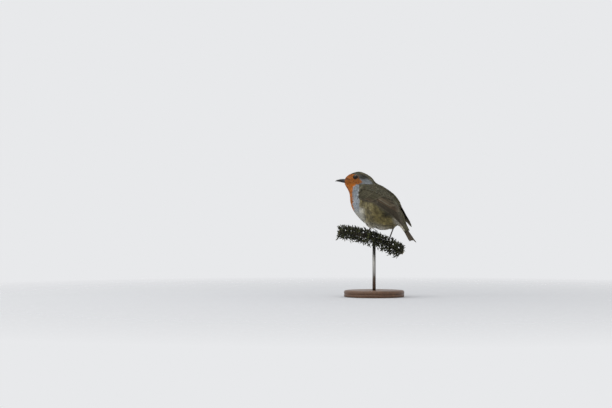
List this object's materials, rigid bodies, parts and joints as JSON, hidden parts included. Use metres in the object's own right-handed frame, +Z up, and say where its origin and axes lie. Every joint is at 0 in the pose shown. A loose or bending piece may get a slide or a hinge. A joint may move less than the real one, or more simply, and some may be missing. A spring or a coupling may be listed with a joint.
{
  "type": "european robin on a display stand",
  "caption": "Life-size perching songbird with an orange face and breast, gripping a cut length of flower spike that a plain display stand holds up.",
  "frame": {"origin": "middle of the underside of the stand's base", "axes": "+Z up, the bird faces -Y, and its left side is +X"},
  "size_m": [0.072, 0.0965, 0.1502],
  "materials": {
    "face_feathers": "short matte feathers, orange on the face and olive-brown on the crown",
    "breast_feathers": "soft matte feathers, orange with a blue-grey border",
    "body_feathers": "soft matte feathers, olive-brown above and buff and white below",
    "tail_feathers": "smooth vanes, grey-brown",
    "wing_feathers": "smooth vanes, olive-brown with paler edges",
    "flank_feathers": "soft matte feathers, buff",
    "bill_horn": "smooth horn, satin",
    "eye": "wet and glossy, near black",
    "leg_skin": "fine scales, satin, dark brown",
    "claw_horn": "smooth horn, satin",
    "perch_stem": "dry stem and seed capsules, matte",
    "stand_metal": "fine brushed",
    "stand_wood": "turned and oiled, satin"
  },
  "bodies": {
    "root": {"head": "face_feathers", "neck": "breast_feathers", "trunk": "body_feathers", "tail": "tail_feathers", "wing_left": "wing_feathers", "wing_right": "wing_feathers", "thigh_left": "flank_feathers", "thigh_right": "flank_feathers", "bill_upper": "bill_horn", "bill_lower": "bill_horn", "eye_left": "eye", "eye_right": "eye", "leg_left": "leg_skin", "leg_right": "leg_skin", "foot_left": "leg_skin", "foot_right": "leg_skin", "perch_spike": "perch_stem", "stand_rod": "stand_metal", "stand_base": "stand_wood", "claw_left_inner": "claw_horn", "claw_left_middle": "claw_horn", "claw_left_outer": "claw_horn", "claw_left_hind": "claw_horn", "claw_right_inner": "claw_horn", "claw_right_middle": "claw_horn", "claw_right_outer": "claw_horn", "claw_right_hind": "claw_horn"}
  },
  "joints": []
}
